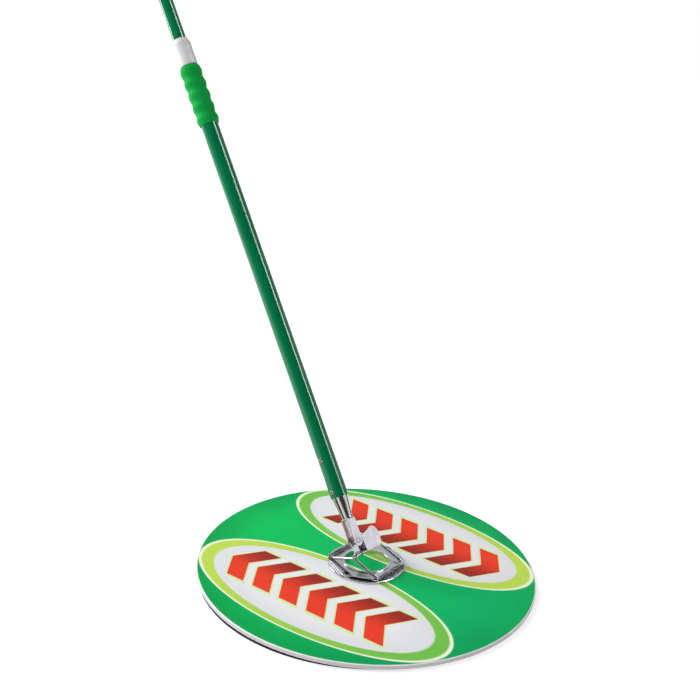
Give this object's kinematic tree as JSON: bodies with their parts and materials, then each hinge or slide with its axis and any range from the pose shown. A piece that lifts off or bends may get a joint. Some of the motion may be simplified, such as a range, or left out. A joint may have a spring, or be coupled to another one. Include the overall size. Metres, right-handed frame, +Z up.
{
  "type": "round floor mop",
  "caption": "Round flat mop on a ball bearing turntable, with a wire cradle, a sprung snap clip, a swivelling yoke and a telescopic twist-lock handle.",
  "frame": {"origin": "where the turntable's axis meets the floor, on the pad's underside", "axes": "+Z up; -Y towards the viewer of the leaning handle's front; the handle leans back towards -X and +Y"},
  "size_m": [0.9438, 0.9336, 1.334],
  "materials": {
    "pad_fabric": "black microfibre pad",
    "hook_tape": "black hook tape",
    "board_foam": "white foam board with smooth skins",
    "print": "green, white and lime printed film",
    "zinc_steel": "zinc-plated steel",
    "bright_steel": "bright chromed steel",
    "ball_steel": "polished bearing steel",
    "cage_plastic": "natural nylon",
    "tube_paint": "dark green gloss paint",
    "grip_foam": "bright green foam rubber",
    "collar_plastic": "white plastic",
    "lock_plastic": "black nylon",
    "cap_plastic": "green plastic"
  },
  "bodies": {
    "board": {"floor_pad": "pad_fabric", "hook_layer": "hook_tape", "board": "board_foam", "printed_sheet": "print", "tee_nuts": "zinc_steel", "bearing_base": "bright_steel", "base_screws": "zinc_steel", "retaining_rim": "bright_steel"},
    "ball_ring": {"bearing_balls": "ball_steel", "ball_cage": "cage_plastic"},
    "turntable": {"turntable_plate": "bright_steel", "cradle_wires": "bright_steel", "crossbar": "bright_steel", "end_collars": "bright_steel"},
    "clip": {"clip_plate": "bright_steel", "lever_pin": "zinc_steel", "lever_spring": "zinc_steel"},
    "lever": {"thumb_lever": "bright_steel"},
    "handle": {"yoke": "bright_steel", "swivel_pin": "zinc_steel", "pin_spacer": "zinc_steel", "crown_rivet": "zinc_steel", "ferrule": "bright_steel", "side_rivets": "zinc_steel", "outer_tube": "tube_paint", "grip": "grip_foam", "lock_collar": "collar_plastic"},
    "lock": {"lock_sleeve": "lock_plastic"},
    "upper_handle": {"inner_tube": "tube_paint", "lock_spindle": "lock_plastic", "end_cap": "cap_plastic"}
  },
  "joints": [
    {"name": "board_spin", "type": "hinge", "parent": "turntable", "child": "board", "pos_m": [0, 0, 0.02], "axis": [0, 0, 1], "continuous": true},
    {"name": "ball_spin", "type": "hinge", "parent": "turntable", "child": "ball_ring", "pos_m": [0, 0, 0.02], "axis": [0, 0, 1], "continuous": true},
    {"name": "clip_tilt", "type": "hinge", "parent": "turntable", "child": "clip", "pos_m": [0, 0, 0.0438], "axis": [0.5948, 0.8039, 0], "range_deg": [-35, 104]},
    {"name": "lever_press", "type": "hinge", "parent": "clip", "child": "lever", "pos_m": [-0.00652, 0.00483, 0.05642], "axis": [-0.5948, -0.8039, 0], "range_deg": [0, 18], "stiffness_Nm_per_rad": 0.05, "springref_deg": -17.19},
    {"name": "yoke_swivel", "type": "hinge", "parent": "clip", "child": "handle", "pos_m": [-0.02286, -0.00958, 0.0642], "axis": [0.6645, -0.4917, 0.5628], "range_deg": [-49, 80]},
    {"name": "telescope_slide", "type": "slide", "parent": "handle", "child": "lock", "axis": [-0.3944, 0.4089, 0.8229], "range_m": [-0.48, 0.05]},
    {"name": "twist_lock", "type": "hinge", "parent": "lock", "child": "upper_handle", "pos_m": [-0.02286, -0.00958, 0.0642], "axis": [-0.3944, 0.4089, 0.8229], "range_deg": [0, 180]}
  ],
  "couplings": [
    {"joint": "ball_spin", "follows": "board_spin", "ratio": 0.5}
  ]
}
